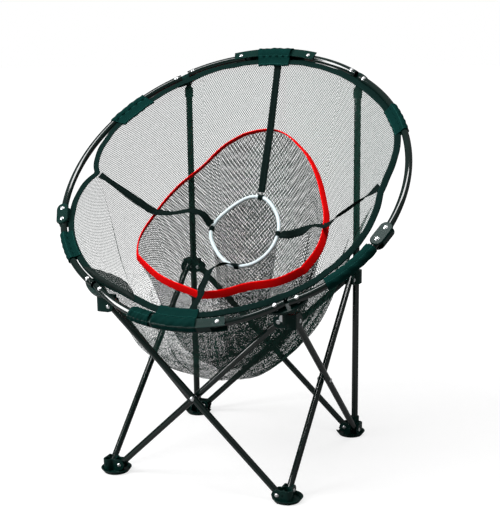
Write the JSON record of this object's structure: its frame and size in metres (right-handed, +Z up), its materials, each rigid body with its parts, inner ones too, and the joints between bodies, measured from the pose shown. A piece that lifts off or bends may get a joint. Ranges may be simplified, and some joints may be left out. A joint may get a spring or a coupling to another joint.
{
  "type": "golf chipping net",
  "caption": "Folding golf chipping net: tilted ring of hinged tubes on crossed legs and rear posts, carrying a net bag with a red band and a white ring as targets.",
  "frame": {"origin": "on the floor under the middle of the whole outline; the middle of the square of the four feet is 21 mm behind it", "axes": "+Z up, +Y to the rear, where the posts stand and the ring is highest; -Y is the front, towards the player; +X to the player's right"},
  "size_m": [0.846, 0.6136, 0.9663],
  "materials": {
    "tube_gloss_black": "glossy powder coat, nearly black with a green tint",
    "moulded_green_black": "moulded, smooth satin",
    "rivet_silver": "bright zinc plated",
    "wrap_teal": "woven cloth, sewn",
    "hem_green": "folded woven tape",
    "mesh_green": "knotless mesh netting",
    "band_red": "woven tape over a sprung hoop",
    "ring_white": "smooth bent tube",
    "webbing_dark": "woven webbing"
  },
  "bodies": {
    "channel_bottom": {"channel_bottom": "moulded_green_black", "rivets_channel_bottom": "rivet_silver", "wrap_bottom": "wrap_teal"},
    "channel_top": {"channel_top": "moulded_green_black", "rivets_channel_top": "rivet_silver", "wrap_top": "wrap_teal"},
    "foot_front_left": {"foot_front_left": "moulded_green_black", "rivets_foot_front_left": "rivet_silver"},
    "foot_front_right": {"foot_front_right": "moulded_green_black", "rivets_foot_front_right": "rivet_silver"},
    "rear_left": {"foot_rear_left": "moulded_green_black", "post_cap_left": "moulded_green_black", "post_left": "tube_gloss_black", "rivets_foot_rear_left": "rivet_silver"},
    "rear_right": {"foot_rear_right": "moulded_green_black", "post_cap_right": "moulded_green_black", "post_right": "tube_gloss_black", "rivets_foot_rear_right": "rivet_silver"},
    "hub_front_left": {"hub_front_left": "moulded_green_black", "rivets_hub_left": "rivet_silver"},
    "hub_front_right": {"hub_front_right": "moulded_green_black", "rivets_hub_right": "rivet_silver"},
    "knuckle_left": {"knuckle_left": "moulded_green_black"},
    "knuckle_right": {"knuckle_right": "moulded_green_black"},
    "leg_front_inner": {"leg_front_inner": "tube_gloss_black"},
    "leg_front_outer": {"leg_front_outer": "tube_gloss_black"},
    "leg_left_inner": {"leg_left_inner": "tube_gloss_black"},
    "leg_left_outer": {"leg_left_outer": "tube_gloss_black"},
    "leg_rear_inner": {"leg_rear_inner": "tube_gloss_black"},
    "leg_rear_outer": {"leg_rear_outer": "tube_gloss_black"},
    "leg_right_inner": {"leg_right_inner": "tube_gloss_black"},
    "leg_right_outer": {"leg_right_outer": "tube_gloss_black"},
    "net": {"net_hem": "hem_green", "net_outer": "mesh_green", "net_red_pocket": "mesh_green", "net_white_pocket": "mesh_green", "red_band": "band_red", "target_straps": "webbing_dark", "white_ring": "ring_white"},
    "ring_bottom_left": {"ring_bottom_left": "tube_gloss_black"},
    "ring_bottom_right": {"ring_bottom_right": "tube_gloss_black"},
    "ring_lower_left": {"ring_lower_left": "tube_gloss_black", "wrap_lower_left": "wrap_teal"},
    "ring_lower_right": {"ring_lower_right": "tube_gloss_black", "wrap_lower_right": "wrap_teal"},
    "ring_top_left": {"ring_top_left": "tube_gloss_black"},
    "ring_top_right": {"ring_top_right": "tube_gloss_black"},
    "ring_upper_left": {"ring_upper_left": "tube_gloss_black", "wrap_upper_left": "wrap_teal"},
    "ring_upper_right": {"ring_upper_right": "tube_gloss_black", "wrap_upper_right": "wrap_teal"},
    "slider_left": {"rivets_slider_left": "rivet_silver", "slider_left": "moulded_green_black"},
    "slider_right": {"rivets_slider_right": "rivet_silver", "slider_right": "moulded_green_black"},
    "saddle_front_left": {"saddle_front_left": "moulded_green_black"},
    "saddle_front_right": {"saddle_front_right": "moulded_green_black"},
    "saddle_rear_left": {"saddle_rear_left": "moulded_green_black"},
    "saddle_rear_right": {"saddle_rear_right": "moulded_green_black"}
  },
  "joints": [
    {"name": "fold", "type": "hinge", "parent": "rear_left", "child": "leg_left_inner", "pos_m": [-0.217, 0.2245, 0.019], "axis": [-1, 0, 0], "range_deg": [0, 36]},
    {"name": "cross_left", "type": "hinge", "parent": "leg_left_inner", "child": "leg_left_outer", "pos_m": [-0.225, 0.021, 0.21275], "axis": [-1, 0, 0], "range_deg": [-72.01, 0]},
    {"name": "foot_front_left_pivot", "type": "hinge", "parent": "leg_left_outer", "child": "foot_front_left", "pos_m": [-0.233, -0.1825, 0.019], "axis": [-1, 0, 0], "range_deg": [0, 36.01]},
    {"name": "slider_left_pivot", "type": "hinge", "parent": "leg_left_outer", "child": "slider_left", "pos_m": [-0.233, 0.2245, 0.4065], "axis": [-1, 0, 0], "range_deg": [0, 36.01]},
    {"name": "hub_front_left_pivot", "type": "hinge", "parent": "leg_left_inner", "child": "hub_front_left", "pos_m": [-0.217, -0.1825, 0.4065], "axis": [-1, 0, 0], "range_deg": [-36.01, 0]},
    {"name": "leg_rear_outer_pivot", "type": "hinge", "parent": "rear_left", "child": "leg_rear_outer", "pos_m": [-0.2035, 0.254, 0.019], "axis": [0, -1, 0], "range_deg": [0, 36.01]},
    {"name": "cross_rear", "type": "hinge", "parent": "leg_rear_outer", "child": "leg_rear_inner", "pos_m": [0, 0.246, 0.21275], "axis": [0, -1, 0], "range_deg": [-72.01, 0]},
    {"name": "foot_rear_right_pivot", "type": "hinge", "parent": "leg_rear_inner", "child": "rear_right", "pos_m": [0.2035, 0.238, 0.019], "axis": [0, -1, 0], "range_deg": [0, 36.01]},
    {"name": "slider_right_pivot", "type": "hinge", "parent": "leg_rear_outer", "child": "slider_right", "pos_m": [0.2035, 0.254, 0.4065], "axis": [0, -1, 0], "range_deg": [-36.01, 0]},
    {"name": "leg_front_inner_pivot", "type": "hinge", "parent": "foot_front_left", "child": "leg_front_inner", "pos_m": [-0.2035, -0.196, 0.019], "axis": [0, -1, 0], "range_deg": [0, 36.01]},
    {"name": "cross_front", "type": "hinge", "parent": "leg_front_inner", "child": "leg_front_outer", "pos_m": [0, -0.204, 0.21275], "axis": [0, -1, 0], "range_deg": [-72.01, 0]},
    {"name": "foot_front_right_pivot", "type": "hinge", "parent": "leg_front_outer", "child": "foot_front_right", "pos_m": [0.2035, -0.212, 0.019], "axis": [0, -1, 0], "range_deg": [0, 36.01]},
    {"name": "hub_front_right_pivot", "type": "hinge", "parent": "leg_front_inner", "child": "hub_front_right", "pos_m": [0.2035, -0.196, 0.4065], "axis": [0, -1, 0], "range_deg": [-36.01, 0]},
    {"name": "leg_right_outer_pivot", "type": "hinge", "parent": "rear_right", "child": "leg_right_outer", "pos_m": [0.233, 0.2245, 0.019], "axis": [-1, 0, 0], "range_deg": [0, 36.01]},
    {"name": "cross_right", "type": "hinge", "parent": "leg_right_outer", "child": "leg_right_inner", "pos_m": [0.225, 0.021, 0.21275], "axis": [-1, 0, 0], "range_deg": [-72.01, 0]},
    {"name": "saddle_rear_left_tilt", "type": "hinge", "parent": "rear_left", "child": "saddle_rear_left", "pos_m": [-0.225, 0.246, 0.882], "axis": [1, 0, 0], "range_deg": [0, 16.4]},
    {"name": "saddle_front_left_tilt", "type": "hinge", "parent": "hub_front_left", "child": "saddle_front_left", "pos_m": [-0.225, -0.217, 0.437], "axis": [1, 0, 0], "range_deg": [0, 16.4]},
    {"name": "ring_top_left_pivot", "type": "hinge", "parent": "saddle_rear_left", "child": "ring_top_left", "pos_m": [-0.211, 0.24514, 0.9067], "axis": [0, -0.6884, 0.7254], "range_deg": [0, 82.54]},
    {"name": "ring_bottom_left_pivot", "type": "hinge", "parent": "saddle_front_left", "child": "ring_bottom_left", "pos_m": [-0.211, -0.23868, 0.44757], "axis": [0, -0.6884, 0.7254], "range_deg": [-82.97, 0]},
    {"name": "ring_lower_left_pivot", "type": "hinge", "parent": "saddle_front_left", "child": "ring_lower_left", "pos_m": [-0.253, -0.22127, 0.46409], "axis": [0, -0.6884, 0.7254], "range_deg": [0, 87.99]},
    {"name": "knuckle_left_lower_pivot", "type": "hinge", "parent": "ring_lower_left", "child": "knuckle_left", "pos_m": [-0.388, -0.10667, 0.57285], "axis": [0, -0.6884, 0.7254], "range_deg": [-47.03, 0]},
    {"name": "knuckle_left_upper_pivot", "type": "hinge", "parent": "knuckle_left", "child": "ring_upper_left", "pos_m": [-0.4, -0.0849, 0.5935], "axis": [0, -0.6884, 0.7254], "range_deg": [-47.03, 0]},
    {"name": "channel_top_pivot", "type": "hinge", "parent": "ring_top_left", "child": "channel_top", "pos_m": [-0.089, 0.27923, 0.93905], "axis": [0, -0.6884, 0.7254], "range_deg": [-82.54, 0]},
    {"name": "channel_bottom_pivot", "type": "hinge", "parent": "ring_bottom_left", "child": "channel_bottom", "pos_m": [-0.098, -0.27785, 0.4104], "axis": [0, -0.6884, 0.7254], "range_deg": [0, 82.97]},
    {"name": "saddle_rear_right_tilt", "type": "hinge", "parent": "rear_right", "child": "saddle_rear_right", "pos_m": [0.225, 0.246, 0.882], "axis": [1, 0, 0], "range_deg": [0, 16.4]},
    {"name": "saddle_front_right_tilt", "type": "hinge", "parent": "hub_front_right", "child": "saddle_front_right", "pos_m": [0.225, -0.217, 0.437], "axis": [1, 0, 0], "range_deg": [0, 16.4]},
    {"name": "ring_top_right_pivot", "type": "hinge", "parent": "saddle_rear_right", "child": "ring_top_right", "pos_m": [0.211, 0.24514, 0.9067], "axis": [0, -0.6884, 0.7254], "range_deg": [-82.54, 0]},
    {"name": "ring_bottom_right_pivot", "type": "hinge", "parent": "saddle_front_right", "child": "ring_bottom_right", "pos_m": [0.211, -0.23868, 0.44757], "axis": [0, -0.6884, 0.7254], "range_deg": [0, 82.97]},
    {"name": "ring_lower_right_pivot", "type": "hinge", "parent": "saddle_front_right", "child": "ring_lower_right", "pos_m": [0.253, -0.22127, 0.46409], "axis": [0, -0.6884, 0.7254], "range_deg": [-87.99, 0]},
    {"name": "knuckle_right_lower_pivot", "type": "hinge", "parent": "ring_lower_right", "child": "knuckle_right", "pos_m": [0.388, -0.10667, 0.57285], "axis": [0, -0.6884, 0.7254], "range_deg": [0, 47.03]},
    {"name": "knuckle_right_upper_pivot", "type": "hinge", "parent": "knuckle_right", "child": "ring_upper_right", "pos_m": [0.4, -0.0849, 0.5935], "axis": [0, -0.6884, 0.7254], "range_deg": [0, 47.03]},
    {"name": "net_gather", "type": "slide", "parent": "rear_left", "child": "net", "axis": [-0.7071, 0.7071, 0], "range_m": [0, 0.2165], "deforming": ["net_hem", "net_outer", "net_red_pocket", "net_white_pocket", "red_band", "target_straps", "white_ring"]}
  ],
  "couplings": [
    {"joint": "cross_left", "follows": "fold", "ratio": -2},
    {"joint": "foot_front_left_pivot", "follows": "fold", "ratio": 1},
    {"joint": "slider_left_pivot", "follows": "fold", "ratio": 1},
    {"joint": "hub_front_left_pivot", "follows": "fold", "ratio": -1},
    {"joint": "leg_rear_outer_pivot", "follows": "fold", "ratio": 1},
    {"joint": "cross_rear", "follows": "fold", "ratio": -2},
    {"joint": "foot_rear_right_pivot", "follows": "fold", "ratio": 1},
    {"joint": "slider_right_pivot", "follows": "fold", "ratio": -1},
    {"joint": "leg_front_inner_pivot", "follows": "fold", "ratio": 1},
    {"joint": "cross_front", "follows": "fold", "ratio": -2},
    {"joint": "foot_front_right_pivot", "follows": "fold", "ratio": 1},
    {"joint": "hub_front_right_pivot", "follows": "fold", "ratio": -1},
    {"joint": "leg_right_outer_pivot", "follows": "fold", "ratio": 1},
    {"joint": "cross_right", "follows": "fold", "ratio": -2},
    {"joint": "saddle_rear_left_tilt", "follows": "fold", "ratio": 0.45538},
    {"joint": "saddle_front_left_tilt", "follows": "fold", "ratio": 0.45538},
    {"joint": "ring_top_left_pivot", "follows": "fold", "ratio": 2.2926},
    {"joint": "ring_bottom_left_pivot", "follows": "fold", "ratio": -2.3045},
    {"joint": "ring_lower_left_pivot", "follows": "fold", "ratio": 2.4439},
    {"joint": "knuckle_left_lower_pivot", "follows": "fold", "ratio": -1.3062},
    {"joint": "knuckle_left_upper_pivot", "follows": "fold", "ratio": -1.3062},
    {"joint": "channel_top_pivot", "follows": "fold", "ratio": -2.2926},
    {"joint": "channel_bottom_pivot", "follows": "fold", "ratio": 2.3045},
    {"joint": "saddle_rear_right_tilt", "follows": "fold", "ratio": 0.45538},
    {"joint": "saddle_front_right_tilt", "follows": "fold", "ratio": 0.45538},
    {"joint": "ring_top_right_pivot", "follows": "fold", "ratio": -2.2926},
    {"joint": "ring_bottom_right_pivot", "follows": "fold", "ratio": 2.3045},
    {"joint": "ring_lower_right_pivot", "follows": "fold", "ratio": -2.4439},
    {"joint": "knuckle_right_lower_pivot", "follows": "fold", "ratio": 1.3062},
    {"joint": "knuckle_right_upper_pivot", "follows": "fold", "ratio": 1.3062},
    {"joint": "net_gather", "follows": "fold", "m_per_rad": 0.34381}
  ]
}
